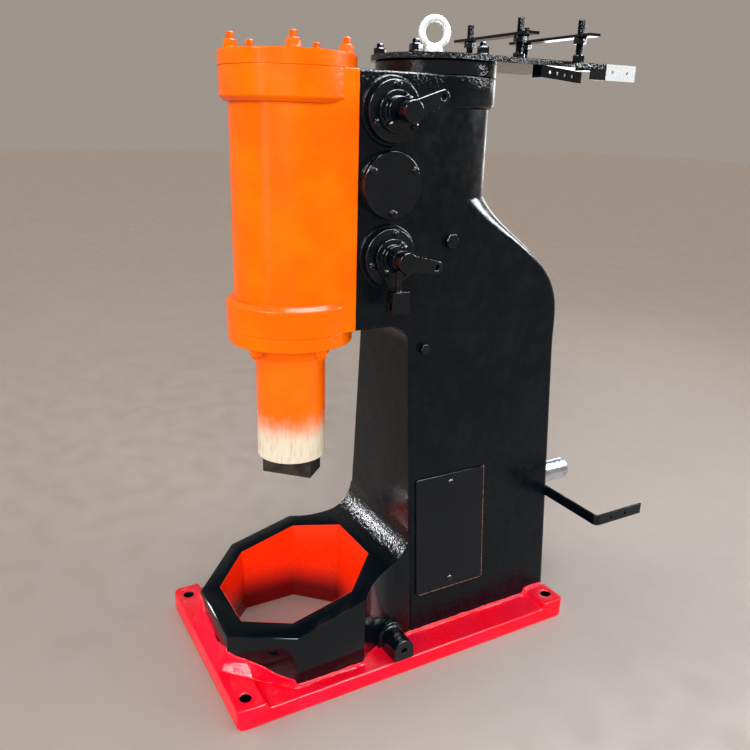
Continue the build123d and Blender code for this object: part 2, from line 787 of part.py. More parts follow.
strap_y = column_back_y + strap_thickness / 2
strap_root_x = bearing_cover_radius + strap_root_clearance
strap_out_x = column_foot_half + strap_side_reach
strap_end_y = column_back_y + strap_back_reach
with BuildPart() as guard_strap:
    with BuildSketch(Plane.XY.offset(strap_z - strap_width / 2)):
        with BuildLine():
            bend = FilletPolyline(
                (strap_root_x, strap_y), (strap_out_x, strap_y), (strap_out_x, strap_end_y),
                radius=strap_bend_radius,
            )
            offset(bend, amount=strap_thickness / 2, side=Side.BOTH)
        make_face()
    extrude(amount=strap_width)
    with BuildSketch(Plane.YZ.offset(strap_out_x + strap_thickness / 2)):
        with Locations((strap_end_y - strap_hole_inset - strap_hole_spacing / 2, strap_z)):
            with GridLocations(strap_hole_spacing, 0, 2, 1):
                Circle(bracket_hole_radius)
    extrude(amount=-strap_thickness, mode=Mode.SUBTRACT)
save(guard_strap, "guard_strap")

# Treadle brackets: an arch-topped boss on each side of the neck, bored for the treadle
treadle_y = column_front_y - treadle_inset
treadle_z = plate_top + treadle_lift
treadle_reach_x = base_width / 2 - treadle_margin
treadle_inner_x = column_foot_half - treadle_root
for name, side in (("near", 1), ("far", -1)):
    with BuildPart() as treadle_bracket:
        for radius, reach in (
            (treadle_boss_radius, treadle_reach_x),
            (treadle_flange_radius, column_foot_half + treadle_flange_length),
        ):
            with BuildSketch(Plane.YZ.offset(side * treadle_inner_x)):
                with Locations((treadle_y, treadle_z)):
                    Circle(radius)
                with Locations((treadle_y, (treadle_z + plate_top) / 2)):
                    Rectangle(2 * radius, treadle_z - plate_top)
                with Locations((treadle_y, plate_top - radius)):
                    Rectangle(2 * radius, 2 * radius, mode=Mode.SUBTRACT)
            extrude(amount=side * (reach - treadle_inner_x))
        with BuildSketch(Plane.YZ.offset(side * treadle_reach_x)):
            with Locations((treadle_y, treadle_z)):
                Circle(treadle_hole_radius)
        extrude(amount=-side * treadle_hole_depth, mode=Mode.SUBTRACT)
        add(anvil_ring.part, mode=Mode.SUBTRACT)
    save(treadle_bracket, f"treadle_bracket_{name}")
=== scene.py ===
"""Looks of the pneumatic forging hammer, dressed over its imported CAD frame, in metres."""
import json
import math

import bmesh
import bpy
from mathutils import Matrix, Vector, noise


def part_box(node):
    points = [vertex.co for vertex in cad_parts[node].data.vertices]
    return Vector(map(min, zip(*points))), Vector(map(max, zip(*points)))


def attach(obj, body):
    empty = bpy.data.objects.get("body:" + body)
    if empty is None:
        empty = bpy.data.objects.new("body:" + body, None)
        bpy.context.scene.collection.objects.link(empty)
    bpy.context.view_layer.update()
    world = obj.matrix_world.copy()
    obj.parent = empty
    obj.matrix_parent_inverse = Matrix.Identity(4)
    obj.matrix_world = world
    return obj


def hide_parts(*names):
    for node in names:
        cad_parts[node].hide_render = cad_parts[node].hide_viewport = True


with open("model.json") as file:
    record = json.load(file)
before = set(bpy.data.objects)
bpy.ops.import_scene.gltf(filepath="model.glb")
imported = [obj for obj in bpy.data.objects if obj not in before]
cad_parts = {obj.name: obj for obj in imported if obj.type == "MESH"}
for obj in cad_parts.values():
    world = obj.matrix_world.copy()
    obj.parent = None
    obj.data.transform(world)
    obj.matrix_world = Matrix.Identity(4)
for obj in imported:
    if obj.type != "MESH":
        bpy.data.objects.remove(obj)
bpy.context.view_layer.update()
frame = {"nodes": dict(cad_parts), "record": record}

NODES = frame["nodes"]
UP = (0, 0, 1)
DOWN = (0, 0, -1)

# The photograph's camera: place in metres; yaw, pitch and roll in degrees; focal length in its pixels
CAMERA_PLACE = (1.4768, -0.8429, 1.2119)
CAMERA_TURN = (60.271, 18.295, 1.534)
FOCAL_PX = 759.05
FRAME_PX = 750
SENSOR_MM = 36.0


def middle(node, axis):
    """Middle of a node's box along one axis."""
    low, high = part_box(node)
    return (low[axis] + high[axis]) / 2


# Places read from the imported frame
RAM_Y = middle("ram", 1)
RAM_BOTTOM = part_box("ram")[0][2]
COMPRESSOR_Y = middle("compressor_cover", 1)
COVER_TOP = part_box("working_cylinder_cover")[1][2]
FLANGE_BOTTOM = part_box("working_cylinder")[0][2] - 0.030
BASE_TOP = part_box("frame_body")[0][2]
PAD_TOP = BASE_TOP + 0.015
PLATE_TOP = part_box("motor_plate")[1][2]
PLATE_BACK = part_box("motor_plate")[1][1]
BODY_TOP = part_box("frame_body")[1][2]
COLUMN_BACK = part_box("crank_bearing_cover")[0][1]
COLUMN_FRONT = RAM_Y + 0.234
FOOT_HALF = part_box("frame_body")[1][0]
RING_LOW, RING_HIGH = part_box("anvil_ring")
BASE_LOW, BASE_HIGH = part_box("base_plate")
VALVES = ("upper", "middle", "lower")
BOSSES = [(middle(f"{name}_valve_cover", 1), middle(f"{name}_valve_cover", 2)) for name in VALVES]

# Levels of the shelves that the working cylinder's two collars leave on its barrel
COLLAR_HEIGHT = 0.064
SHELVES = (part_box("working_cylinder")[0][2] + COLLAR_HEIGHT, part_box("working_cylinder")[1][2] - COLLAR_HEIGHT)

# The valve bosses: their radius, and the distances from the middle between which wall and seat lie
BOSS_RADIUS = 0.067
BOSS_WALL = (0.115, 0.120)
BOSS_SEAT = (0.120, 0.130)

# Back edge of the raised band across the base's front, and the lean of the column's sides
BAND_BACK = -0.377
COLUMN_LEAN = math.atan2(0.052, 0.677)

# M16 studs and nuts: width across the flats, and radius of the stud
M16_FLATS, M16_RADIUS = 0.024, 0.008


def point_camera():
    """Sets the camera that the photograph was taken with: place, turn, tilt and roll."""
    yaw, pitch, roll = (math.radians(a) for a in CAMERA_TURN)
    ahead = Vector((-math.sin(yaw) * math.cos(pitch), math.cos(yaw) * math.cos(pitch), -math.sin(pitch)))
    right = Vector((math.cos(yaw), math.sin(yaw), 0))
    up = right.cross(ahead)
    right_rolled = right * math.cos(roll) + up * math.sin(roll)
    up_rolled = up * math.cos(roll) - right * math.sin(roll)
    lens = bpy.data.cameras.new("photo_view")
    lens.sensor_width = SENSOR_MM
    lens.lens = FOCAL_PX * SENSOR_MM / FRAME_PX
    camera = bpy.data.objects.new("photo_view", lens)
    bpy.context.scene.collection.objects.link(camera)
    turn = Matrix((right_rolled, up_rolled, -ahead)).transposed().to_4x4()
    camera.matrix_world = Matrix.Translation(CAMERA_PLACE) @ turn
    bpy.context.scene.camera = camera
    bpy.context.scene.view_settings.view_transform = "Standard"


# Material helpers

def add(tree, kind, inputs=None, **settings):
    """Adds a node; an input value is a number, a colour or another node's socket."""
    made = tree.nodes.new(kind)
    for key, value in settings.items():
        setattr(made, key, value)
    for key, value in (inputs or {}).items():
        if isinstance(value, bpy.types.NodeSocket):
            tree.links.new(value, made.inputs[key])
        else:
            made.inputs[key].default_value = value
    return made


def start(name):
    """A new node material: returns it, its tree and the place of each point in metres."""
    made = bpy.data.materials.new(name)
    made.use_nodes = True
    tree = made.node_tree
    tree.nodes.clear()
    return made, tree, add(tree, "ShaderNodeTexCoord").outputs["Object"]


def mottle(tree, place, scale, detail=3.0, rough=0.55, stretch=None):
    """Noise between 0 and 1, with scale in patches a metre; stretch scales its three axes."""
    if stretch:
        place = add(tree, "ShaderNodeMapping", {"Vector": place, "Scale": stretch}).outputs["Vector"]
    inputs = {"Vector": place, "Scale": scale, "Detail": detail, "Roughness": rough}
    return add(tree, "ShaderNodeTexNoise", inputs).outputs["Fac"]


def ranged(tree, value, low, high, to_low=0.0, to_high=1.0):
    """Maps value from low..high to to_low..to_high, smoothly and clamped."""
    inputs = {"Value": value, "From Min": low, "From Max": high, "To Min": to_low, "To Max": to_high}
    return add(tree, "ShaderNodeMapRange", inputs, interpolation_type="SMOOTHSTEP").outputs["Result"]


def maths(tree, operation, *values):
    """A sum, product, comparison or the like of numbers or sockets."""
    return add(tree, "ShaderNodeMath", dict(enumerate(values)), operation=operation).outputs[0]


def product(tree, *values):
    """Multiplies masks or numbers together."""
    result = values[0]
    for value in values[1:]:
        result = maths(tree, "MULTIPLY", result, value)
    return result


def axes(tree, place):
    """The three parts of a vector."""
    split = add(tree, "ShaderNodeSeparateXYZ", {"Vector": place})
    return split.outputs["X"], split.outputs["Y"], split.outputs["Z"]


def mixed(tree, share, first, second):
    """Blends two colours by share."""
    made = add(tree, "ShaderNodeMix", {0: share}, data_type="RGBA")
    for slot, value in ((6, first), (7, second)):
        if isinstance(value, bpy.types.NodeSocket):
            tree.links.new(value, made.inputs[slot])
        else:
            made.inputs[slot].default_value = (*value, 1.0)
    return made.outputs[2]


def patchy(tree, place, scale, first, second, detail=4.0, span=(0.35, 0.7)):
    """Patches of two colours, with scale in patches a metre."""
    return mixed(tree, ranged(tree, mottle(tree, place, scale, detail), *span), first, second)


def bumps(tree, layers):
    """Stacks bump nodes; each layer is a height socket and its depth in metres."""
    normal = None
    for height, depth in layers:
        inputs = {"Height": height, "Distance": depth, "Strength": 1.0}
        if normal:
            inputs["Normal"] = normal
        normal = add(tree, "ShaderNodeBump", inputs).outputs["Normal"]
    return normal


def finish_surface(tree, colour, roughness, normal=None, gloss=0.5, metallic=0.0):
    """Joins colour, roughness and bump in one shader; gloss and metallic are uniform."""
    inputs = {
        "Base Color": colour, "Roughness": roughness, "Specular IOR Level": gloss, "Metallic": metallic,
    }
    if normal:
        inputs["Normal"] = normal
    shader = add(tree, "ShaderNodeBsdfPrincipled", inputs)
    add(tree, "ShaderNodeOutputMaterial", {"Surface": shader.outputs["BSDF"]})


# Paints: each is a main colour and the shade that its thicker patches have
BLACK_PAINT = ((0.0006, 0.0026, 0.0046), (0.0022, 0.0042, 0.0062))
ORANGE_PAINT = ((1.0, 0.128, 0.0), (1.0, 0.165, 0.0))
RED_PAINT = ((1.0, 0.001, 0.016), (0.90, 0.004, 0.034))
POCKET_PAINT = ((1.0, 0.034, 0.0), (0.90, 0.014, 0.0))
# Painted shade: darker reds that the pocket's walls take on towards the bottom of the pocket
POCKET_PAINTED_SHADE = (0.34, 0.003, 0.003)
POCKET_FOOT_PAINTED_SHADE = (0.16, 0.001, 0.001)
CREAM_PAINT = ((0.72, 0.64, 0.49), (0.50, 0.38, 0.28))

# The floor's two shades, and the room's colours low down and overhead
FLOOR_SHADES = ((0.315, 0.252, 0.210), (0.358, 0.290, 0.244))
ROOM_SHADES = ((0.34, 0.30, 0.265), (0.035, 0.040, 0.048))


def enamel(name, paint, roughness, swell, grain, lumps=None, lump_depth=0.0, gloss=0.32, thin=None):
    """Brushed enamel over a sand casting: slow swells, fine grain and, where lumps says, coarse dabs.

    A roughness given as thin holds where lumps is 0, and the other one where it is 1.
    """
    made, tree, place = start(name)
    tint = patchy(tree, place, 9.0, *paint)
    patches = ranged(tree, mottle(tree, place, 35.0, 4.0), 0.3, 0.7, 0.75, 1.35)
    dull = product(tree, patches, roughness)
    layers = [(mottle(tree, place, 22.0, 2.0), swell), (mottle(tree, place, 260.0, 2.0), grain)]
    if lumps:
        dabs = mottle(tree, place, 120.0, 3.0, 0.6)
        layers.append((product(tree, dabs, lumps(tree, place)), lump_depth))
    if thin:
        dull = product(tree, patches, ranged(tree, lumps(tree, place), 0.0, 1.0, thin, roughness))
    finish_surface(tree, tint, dull, bumps(tree, layers), gloss)
    return made


def everywhere(tree, place):
    """A zone that is the whole surface."""
    return 1.0


def casting_zone(tree, place):
    """Where the frame's paint is thick: on the valve bosses and along the top rim."""
    x, y, z = axes(tree, place)
    off_wall = ranged(tree, maths(tree, "ABSOLUTE", x), 0.1185, 0.1205)
    above_throat = ranged(tree, z, 0.84, 0.88)
    on_web = ranged(tree, y, 0.03, 0.02)
    boss = product(tree, off_wall, above_throat, on_web, 0.5)
    rim = ranged(tree, z, BODY_TOP - 0.050, BODY_TOP - 0.012)
    return maths(tree, "MAXIMUM", boss, rim)


def neck_zone(tree, place):
    """Where the ring casting is lumpy: in the fillet that rises to the column."""
    y = axes(tree, place)[1]
    return maths(tree, "ADD", ranged(tree, y, COLUMN_FRONT - 0.064, COLUMN_FRONT - 0.052), 0.01)


def pad_zone(tree, place):
    """Where the base's paint is knobbly: most on the front pad away from the operator."""
    x, y = axes(tree, place)[:2]
    far_pad = product(tree, ranged(tree, x, -0.06, -0.10), ranged(tree, y, -0.36, -0.40))
    return maths(tree, "ADD", product(tree, far_pad, 1.6), 0.3)


BLACK = enamel(
    "black_enamel", BLACK_PAINT, roughness=0.08, swell=0.0010, grain=0.00005,
    lumps=casting_zone, lump_depth=0.0030, gloss=0.20, thin=0.24,
)
BLACK_FITTING = enamel(
    "black_fitting", BLACK_PAINT, roughness=0.09, swell=0.0005, grain=0.00010,
    lumps=everywhere, lump_depth=0.0012, gloss=0.40,
)
BLACK_PLAIN = enamel("black_sheet", BLACK_PAINT, roughness=0.10, swell=0.0006, grain=0.00006)
ORANGE = enamel(
    "orange_enamel", ORANGE_PAINT, roughness=0.20, swell=0.0010, grain=0.00010,
    lumps=everywhere, lump_depth=0.0006, gloss=0.12,
)
RED = enamel(
    "red_enamel", RED_PAINT, roughness=0.12, swell=0.0010, grain=0.0002,
    lumps=everywhere, lump_depth=0.0016, gloss=0.18,
)


def metal(name, colour, shade, roughness, stretch=None, scratch=0.00015, metallic=1.0):
    """Bare or plated metal with turning or rolling marks."""
    made, tree, place = start(name)
    marks = mottle(tree, place, 300.0, 2.0, 0.5, stretch)
    tint = patchy(tree, place, 40.0, colour, shade)
    dull = ranged(tree, marks, 0.3, 0.7, roughness * 0.8, roughness * 1.3)
    finish_surface(tree, tint, dull, bumps(tree, [(marks, scratch)]), metallic=metallic)
    return made


STEEL = metal("bare_steel", (0.66, 0.70, 0.76), (0.46, 0.48, 0.52), roughness=0.2, stretch=(0.2, 3.0, 0.2))
DARK = metal(
    "dark_steel", (0.060, 0.052, 0.045), (0.030, 0.026, 0.024),
    roughness=0.5, stretch=(1.0, 1.0, 0.1), scratch=0.0004, metallic=0.6,
)
ZINC = metal("bright_zinc", (0.92, 0.95, 0.95), (0.80, 0.83, 0.83), roughness=0.36, metallic=0.45)


def ram_paint():
    """Orange down to the ram's foot, then a brushed fade to pale undercoat."""
    made, tree, place = start("ram_enamel")
    z = axes(tree, place)[2]
    strokes = mottle(tree, place, 120.0, 3.0, 0.65, (1.0, 1.0, 0.12))
    waves = mottle(tree, place, 22.0, 2.0)
    edge = maths(tree, "MULTIPLY_ADD", maths(tree, "ADD", strokes, waves), 0.045, RAM_BOTTOM + 0.034)
    fade = ranged(tree, maths(tree, "SUBTRACT", z, edge), -0.038, 0.040)
    thin = ranged(tree, mottle(tree, place, 150.0, 4.0, 0.6, (1.0, 1.0, 0.2)), 0.45, 0.85)
    cream = mixed(tree, thin, *CREAM_PAINT)
    stain = product(tree, ranged(tree, z, RAM_BOTTOM + 0.05, RAM_BOTTOM + 0.10), 0.35)
    cream = mixed(tree, stain, cream, ORANGE_PAINT[0])
    orange = patchy(tree, place, 9.0, *ORANGE_PAINT, 3.0, (0.3, 0.7))
    normal = bumps(tree, [(mottle(tree, place, 22.0, 2.0), 0.0008), (strokes, 0.0004)])
    dull = ranged(tree, fade, 0.0, 1.0, 0.55, 0.24)
    finish_surface(tree, mixed(tree, fade, cream, orange), dull, normal, gloss=0.22)
    return made


def pocket_mask(tree, place, slack):
    """1 on the pocket's walls, which narrow downwards by the casting's draft."""
    x, y, z = axes(tree, place)
    half_x, half_y, corner, rim, draft = 0.165, 0.161, 0.089, 0.181, math.tan(math.radians(4))
    inset = product(tree, maths(tree, "SUBTRACT", rim, z), draft)
    across = maths(tree, "ADD", maths(tree, "ABSOLUTE", x), inset)
    along = maths(tree, "ADD", maths(tree, "ABSOLUTE", maths(tree, "SUBTRACT", y, RAM_Y)), inset)
    both = maths(tree, "SUBTRACT", maths(tree, "ADD", across, along), product(tree, inset, 0.5))
    inside = maths(tree, "LESS_THAN", across, half_x + slack)
    inside = product(tree, inside, maths(tree, "LESS_THAN", along, half_y + slack))
    return product(tree, inside, maths(tree, "LESS_THAN", both, half_x + half_y - corner + 1.5 * slack))


def anchor_hole_painted_shade(tree, place):
    """1 in the four anchor holes of the base, whose walls are coloured near-black as painted shade."""
    x, y = axes(tree, place)[:2]
    from_side, from_end, hole_radius = 0.040, 0.030, 0.0132
    across = maths(tree, "SUBTRACT", maths(tree, "ABSOLUTE", x), BASE_HIGH[0] - from_side)
    middle_y, half_y = (BASE_HIGH[1] + BASE_LOW[1]) / 2, (BASE_HIGH[1] - BASE_LOW[1]) / 2
    along = maths(tree, "ABSOLUTE", maths(tree, "SUBTRACT", y, middle_y))
    along = maths(tree, "SUBTRACT", along, half_y - from_end)
    reach = maths(tree, "ADD", product(tree, across, across), product(tree, along, along))
    return maths(tree, "LESS_THAN", reach, hole_radius ** 2)


def ring_paint(name, outer, roughness, lumps, lump_depth, slack, gloss):
    """Outer paint outside, orange-red brush paint on the pocket's walls, found within slack in metres, with
    painted shade that darkens the walls towards the bottom of the pocket.
    """
    made, tree, place = start(name)
    inside = pocket_mask(tree, place, slack)
    brush = mottle(tree, place, 170.0, 3.0, 0.6)
    wall = mixed(tree, ranged(tree, brush, 0.3, 0.7), *POCKET_PAINT)
    depth = axes(tree, place)[2]
    # Painted shade: the pocket's walls darken towards the bottom, most at the foot
    wall = mixed(tree, ranged(tree, depth, 0.105, 0.035), wall, POCKET_PAINTED_SHADE)
    wall = mixed(tree, ranged(tree, depth, 0.060, 0.030), wall, POCKET_FOOT_PAINTED_SHADE)
    coat = patchy(tree, place, 9.0, *outer)
    # Painted shade: the walls of the anchor holes are coloured near-black
    coat = mixed(tree, anchor_hole_painted_shade(tree, place), coat, BLACK_PAINT[0])
    dull = ranged(tree, inside, 0.0, 1.0, roughness, 0.28)
    dabs = product(tree, mottle(tree, place, 120.0, 3.0, 0.6), lumps(tree, place))
    strokes = product(tree, brush, inside)
    normal = bumps(tree, [(mottle(tree, place, 16.0, 1.0), 0.0004), (dabs, lump_depth), (strokes, 0.0004)])
    finish_surface(tree, mixed(tree, inside, coat, wall), dull, normal, gloss)
    return made


def plate_edge_paint():
    """Black sheet steel whose flame-cut edges are ribbed and catch the light in beads."""
    made, tree, place = start("flame_cut_plate")
    facing = axes(tree, add(tree, "ShaderNodeTexCoord").outputs["Normal"])[2]
    edge = ranged(tree, maths(tree, "ABSOLUTE", facing), 0.75, 0.3)
    ribs = mottle(tree, place, 260.0, 3.0, 0.6, (1.0, 1.0, 0.35))
    tint = patchy(tree, place, 14.0, *BLACK_PAINT, 3.0)
    normal = bumps(tree, [(mottle(tree, place, 22.0, 2.0), 0.0008), (product(tree, ribs, edge), 0.0035)])
    finish_surface(tree, tint, 0.12, normal)
    return made


def primer_paint():
    """Brown primer that shows in the seam of a side cover."""
    made, tree, place = start("primer")
    tint = patchy(tree, place, 130.0, (0.10, 0.035, 0.035), (0.36, 0.16, 0.15), 3.0, (0.35, 0.6))
    finish_surface(tree, tint, 0.4, bumps(tree, [(mottle(tree, place, 200.0), 0.0004)]), gloss=0.2)
    return made


def hanger_paint():
    """Zinc on the free end of the hanger, black where it is painted with the plate."""
    made, tree, place = start("half_painted_zinc")
    y = axes(tree, place)[1]
    ragged = product(tree, mottle(tree, place, 150.0), 0.008)
    free = ranged(tree, maths(tree, "ADD", y, ragged), PLATE_BACK + 0.008, PLATE_BACK + 0.010)
    zinc = mixed(tree, mottle(tree, place, 60.0, 4.0), (0.64, 0.68, 0.70), (0.48, 0.51, 0.52))
    tint = mixed(tree, free, BLACK_PAINT[0], zinc)
    normal = bumps(tree, [(mottle(tree, place, 200.0), 0.0002)])
    finish_surface(tree, tint, ranged(tree, free, 0.0, 1.0, 0.15, 0.4), normal)
    return made


PRIMER = primer_paint()
NODE_FINISH = {
    "frame_body": BLACK,
    "ram": ram_paint(),
    "anvil_ring": ring_paint(
        "ring_enamel", BLACK_PAINT, roughness=0.10, lumps=neck_zone, lump_depth=0.0022, slack=0.0008, gloss=0.28,
    ),
    "base_plate": ring_paint(
        "base_enamel", RED_PAINT, roughness=0.12, lumps=pad_zone, lump_depth=0.0034, slack=0.020, gloss=0.18,
    ),
    "motor_plate": plate_edge_paint(),
    "guard_hanger": hanger_paint(),
}
SLOT_FINISH = {
    "black_enamel": BLACK_FITTING, "orange_enamel": ORANGE, "red_enamel": RED,
    "bare_steel": STEEL, "dark_steel": DARK, "galvanised_steel": ZINC,
}
SHEET_NODES = (
    "side_cover_near", "side_cover_far", "motor_rail_front", "motor_rail_rear", "guard_angle", "guard_strap",
)
NODE_FINISH.update({node: BLACK_PLAIN for node in SHEET_NODES})
NODE_SLOT = {row["node"]: row["material_slot"] for row in frame["record"]["subparts"]}
NODE_BODY = {node: body for body, nodes in frame["record"]["behaviour"]["bodies"].items() for node in nodes}


def node_finish(node):
    """The finish of a CAD node: its own, or the one that its material slot has."""
    return NODE_FINISH.get(node, SLOT_FINISH[NODE_SLOT[node]])


def dress_nodes():
    """Gives each CAD node its finish."""
    for node, obj in NODES.items():
        for place in obj.material_slots:
            place.material = node_finish(node)


# Mesh helpers

def piece(name, bm, finish, body="frame", smooth_angle=40):
    """Turns mesh code into an object that rides on a body."""
    mesh = bpy.data.meshes.new(name)
    bm.to_mesh(mesh)
    bm.free()
    made = bpy.data.objects.new(name, mesh)
    bpy.context.scene.collection.objects.link(made)
    mesh.shade_smooth()
    mesh.set_sharp_from_angle(angle=math.radians(smooth_angle))
    mesh.materials.append(finish)
    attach(made, body)
    return made


def stand_in(name, bm, node):
    """Turns mesh code into the piece that is seen in place of a CAD node."""
    made = piece(name, bm, node_finish(node), NODE_BODY[node])
    made.modifiers.new("flat_faces_stay_flat", "WEIGHTED_NORMAL").keep_sharp = True
    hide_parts(node)
    return made


def whole_faces(node):
    """Mesh code of a CAD node with its flat faces made whole again."""
    bm = bmesh.new()
    bm.from_mesh(NODES[node].data)
    bmesh.ops.remove_doubles(bm, verts=bm.verts, dist=2e-6)
    bmesh.ops.dissolve_limit(bm, angle_limit=math.radians(0.4), verts=bm.verts, edges=bm.edges)
    return bm


def sharp(bm, wanted=lambda edge: True, angle=30):
    """Edges sharper than an angle in degrees that a test accepts."""
    limit = math.radians(angle)
    return [e for e in bm.edges if len(e.link_faces) == 2 and e.calc_face_angle(0) > limit and wanted(e)]


def rounded(bm, edges, width, segments=3, clamp=True):
    """Rounds edges by a width in metres; clamp keeps it under half of the shortest edge it meets."""
    bmesh.ops.bevel(
        bm, geom=edges, offset=width, offset_type="OFFSET", segments=segments, profile=0.5,
        affect="EDGES", clamp_overlap=clamp,
    )


def soften(node, width, segments=3, clamp=True):
    """Puts a copy with rounded edges in place of a CAD node."""
    bm = whole_faces(node)
    rounded(bm, sharp(bm), width, segments, clamp)
    return stand_in(f"{node}_soft", bm, node)


def level_edge(height, slack=0.0002):
    """A test for edges that lie at a height."""
    return lambda e: all(abs(v.co.z - height) < slack for v in e.verts)


def rim_edge(edge):
    """True for the outer edges round the front of the anvil ring's top."""
    top, reach = 0.122, 0.185
    return all(
        v.co.z > top and v.co.y < RAM_Y and max(abs(v.co.x), RAM_Y - v.co.y) > reach for v in edge.verts
    )


def boss_edge(near, far, slack=0.0012):
    """A test for the round edges of the valve bosses that lie near to far metres out from the middle."""
    def wanted(edge):
        return all(
            near < abs(v.co.x) < far
            and any(abs(math.hypot(v.co.y - y, v.co.z - z) - BOSS_RADIUS) < slack for y, z in BOSSES)
            for v in edge.verts
        )
    return wanted


def shelf_edge(edge):
    """True for the edges of the two narrow shelves of the working cylinder's collars."""
    return any(level_edge(height)(edge) for height in SHELVES)


def rear_corner(edge):
    """True for the upright rear corners of the base."""
    near = 0.02
    upright = abs(edge.verts[0].co.z - edge.verts[1].co.z) > 0.01
    return upright and all(
        v.co.y > BASE_HIGH[1] - near and abs(v.co.x) > BASE_HIGH[0] - near for v in edge.verts
    )


def cast(node, voxel, shrink, patch, rounds=2, floor_z=None):
    """Puts a copy with a hand-cast, uneven skin in place of a CAD node; the skin only moves inwards."""
    bm = whole_faces(node)
    rounded(bm, sharp(bm, rear_corner), 0.018, 6)
    made = stand_in(f"{node}_cast", bm, node)
    made.modifiers.clear()
    remesh = made.modifiers.new("skin", "REMESH")
    remesh.mode = "VOXEL"
    remesh.voxel_size = voxel
    smooth = made.modifiers.new("soft", "SMOOTH")
    smooth.factor = 0.5
    smooth.iterations = rounds
    graph = bpy.context.evaluated_depsgraph_get()
    mesh = bpy.data.meshes.new_from_object(made.evaluated_get(graph), depsgraph=graph)
    made.modifiers.clear()
    normals = [v.normal.copy() for v in mesh.vertices]
    for vertex, normal in zip(mesh.vertices, normals):
        if floor_z is not None and vertex.co.z < floor_z + voxel / 2:
            vertex.co.z = floor_z
            continue
        spot = vertex.co * patch
        wave = 0.5 + 0.5 * noise.noise(spot) + 0.25 * noise.noise(spot * 3.1)
        vertex.co -= normal * (shrink * max(0.0, wave))
    mesh.shade_smooth()
    mesh.materials.clear()
    mesh.materials.append(node_finish(node))
    made.data = mesh
    return made


def turned(bm, profile, at, axis, sides=32, spin=0.0):
    """Adds a closed turned form; profile is (radius, height) pairs along axis from at."""
    turn = Vector(axis).to_track_quat("Z", "Y").to_matrix().to_4x4()
    place = Matrix.Translation(at) @ turn @ Matrix.Rotation(spin, 4, "Z")
    rings = []
    for radius, height in profile:
        angles = [2 * math.pi * k / sides for k in range(sides)]
        points = [Vector((radius * math.cos(a), radius * math.sin(a), height)) for a in angles]
        rings.append([bm.verts.new(place @ point) for point in points])
    for low, high in zip(rings, rings[1:]):
        for k in range(sides):
            n = (k + 1) % sides
            bm.faces.new((low[k], low[n], high[n], high[k]))
    bm.faces.new(rings[0][::-1])
    bm.faces.new(rings[-1])


def hexagon(bm, flats, height, at, axis, spin=0.0):
    """Adds a hexagon head or nut, its corners chamfered off at the top."""
    corner = flats / math.sqrt(3)
    profile = [
        (corner, 0), (corner, height * 0.82), (corner * 0.96, height * 0.92), (corner * 0.86, height),
    ]
    turned(bm, profile, at, axis, 6, spin)


def threaded(bm, radius, length, at, axis, pitch=0.002, sides=20):
    """Adds a stud end with thread grooves and a chamfered tip."""
    root = radius - pitch * 0.45
    turns = max(1, int(length / pitch) - 1)
    profile = [(root, 0)]
    for k in range(turns):
        profile += [(radius, (k + 0.5) * pitch), (root, (k + 1) * pitch)]
    profile += [(radius, (turns + 0.4) * pitch), (radius - 0.0015, length)]
    turned(bm, profile, at, axis, sides)


def bolt(bm, at, axis, flats, head, stud=0.0, stud_radius=0.0, washer=0.0, spin=0.0):
    """Adds a washer, a nut or head, and the end of a stud that stands out of it."""
    at = Vector(at)
    ahead = Vector(axis).normalized()
    if washer:
        rim = 0.0005
        radius = flats * 0.62
        turned(bm, [(radius, 0), (radius, washer - rim), (radius - rim, washer)], at, axis, 28)
        at = at + ahead * washer
    hexagon(bm, flats, head, at, axis, spin)
    if stud:
        threaded(bm, stud_radius, stud, at + ahead * head, axis)


def m16_nut(bm, at, axis, stud, spin):
    """Adds an M16 nut on its washer, with a length of its stud standing out."""
    bolt(bm, at, axis, M16_FLATS, head=0.0135, stud=stud, stud_radius=M16_RADIUS, washer=0.003, spin=spin)


def circle_places(count, radius, centre, first):
    """Places round an upright bolt circle, the first at an angle in degrees, and each one's angle in radians."""
    for k in range(count):
        angle = math.radians(first + 360 * k / count)
        yield Vector(centre) + radius * Vector((math.cos(angle), math.sin(angle), 0)), angle


# Pieces

